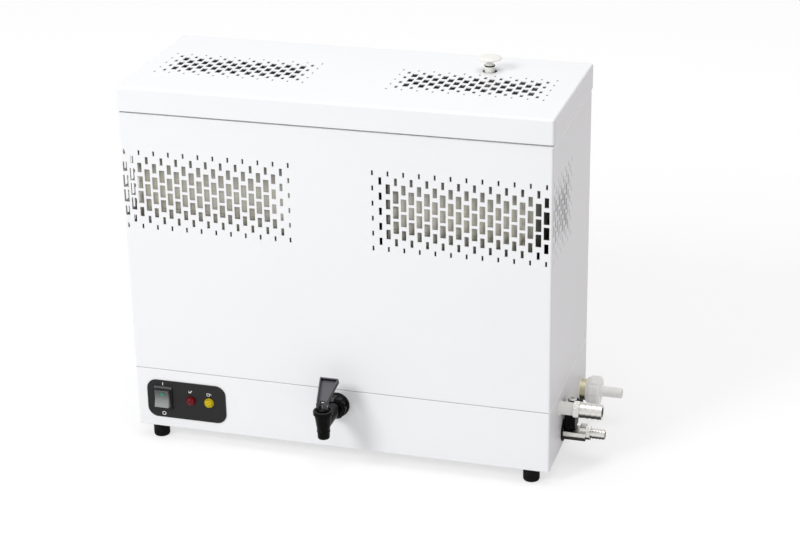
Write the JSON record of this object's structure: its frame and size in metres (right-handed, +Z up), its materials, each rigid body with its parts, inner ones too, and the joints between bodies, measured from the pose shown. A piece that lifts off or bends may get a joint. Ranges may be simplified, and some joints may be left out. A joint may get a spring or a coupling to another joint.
{
  "type": "bench water still",
  "caption": "White bench water still with graded slot vents, a black draw-off tap, a switch panel with lamps, and hose fittings on one side.",
  "frame": {"origin": "on the bench, under the middle of the case's outline", "axes": "+X to the right, +Y into the depth away from the tap, +Z up"},
  "size_m": [0.5405, 0.2811, 0.447],
  "materials": {
    "white_coat": "satin powder coat",
    "foot_rubber": "matt",
    "stopper_plastic": "translucent natural",
    "dark_seal": "matt",
    "plate_black": "satin print",
    "switch_black": "fine grain",
    "key_black": "fine grain",
    "green_light": "clear",
    "lamp_red": "clear",
    "lamp_amber": "clear",
    "black_moulding": "as moulded",
    "tap_black": "semi-gloss",
    "lever_black": "fine grain",
    "stem_plastic": "natural",
    "steel_pin": "drawn",
    "nickel": "nickel-plated",
    "pale_plastic": "natural",
    "white_plastic": "natural",
    "union_brass": "machined",
    "vessel_steel": "brushed",
    "carrier_steel": "galvanised",
    "heater_steel": "annealed",
    "hose_silicone": "translucent",
    "grey_plastic": "as moulded"
  },
  "bodies": {
    "still": {"base_tray": "white_coat", "casing_front": "white_coat", "casing_left": "white_coat", "casing_right": "white_coat", "back_panel": "white_coat", "lid_top": "white_coat", "lid_skirt": "white_coat", "foot_front_left": "foot_rubber", "foot_front_right": "foot_rubber", "foot_rear_left": "foot_rubber", "foot_rear_right": "foot_rubber", "control_plate": "plate_black", "switch_frame": "switch_black", "lamp_red_lens": "lamp_red", "lamp_amber_lens": "lamp_amber", "lamp_red_body": "black_moulding", "lamp_amber_body": "black_moulding", "tap_washer": "dark_seal", "tap_grip": "tap_black", "tap_body": "tap_black", "tap_bonnet": "tap_black", "tap_lock_nut": "black_moulding", "valve_grommet": "dark_seal", "valve_body": "nickel", "valve_coil": "black_moulding", "valve_core": "nickel", "valve_plug": "black_moulding", "valve_barb": "nickel", "nozzle_sleeve": "pale_plastic", "nozzle": "nickel", "union_gasket": "white_plastic", "union_stub": "union_brass", "union_tail": "white_plastic", "carrier": "carrier_steel", "storage_tank": "vessel_steel", "tank_cover": "vessel_steel", "evaporator": "vessel_steel", "evaporator_cover": "vessel_steel", "heater": "heater_steel", "condenser": "vessel_steel", "tap_hose": "hose_silicone", "feed_hose": "hose_silicone", "drain_hose": "hose_silicone", "overflow_hose": "hose_silicone", "terminal_block": "grey_plastic", "cable_gland": "grey_plastic"},
    "stem": {"tap_stem": "stem_plastic", "tap_seal": "dark_seal"},
    "lever": {"tap_lever": "lever_black", "lever_pin": "steel_pin"},
    "key": {"switch_key": "key_black", "switch_light": "green_light"},
    "stopper": {"stopper": "stopper_plastic", "stopper_ring": "dark_seal"},
    "union_nut": {"union_nut": "white_plastic"}
  },
  "joints": [
    {"name": "stem_lift", "type": "slide", "parent": "still", "child": "stem", "axis": [0, 0, 1], "range_m": [0, 0.0026]},
    {"name": "lever_turn", "type": "hinge", "parent": "stem", "child": "lever", "pos_m": [0, -0.1525, 0.0945], "axis": [1, 0, 0], "range_deg": [0, 55], "stiffness_Nm_per_rad": 0.03, "springref_deg": -20.05},
    {"name": "key_rock", "type": "hinge", "parent": "still", "child": "key", "pos_m": [-0.2115, -0.1009, 0.0548], "axis": [1, 0, 0], "range_deg": [0, 14]},
    {"name": "stopper_lift", "type": "slide", "parent": "still", "child": "stopper", "axis": [0, 0, 1], "range_m": [0, 0.065]},
    {"name": "nut_turn", "type": "hinge", "parent": "still", "child": "union_nut", "pos_m": [0.261, 0.0705, 0.0395], "axis": [1, 0, 0], "continuous": true}
  ],
  "couplings": [
    {"joint": "stem_lift", "follows": "lever_turn", "m_per_rad": 0.0026}
  ]
}
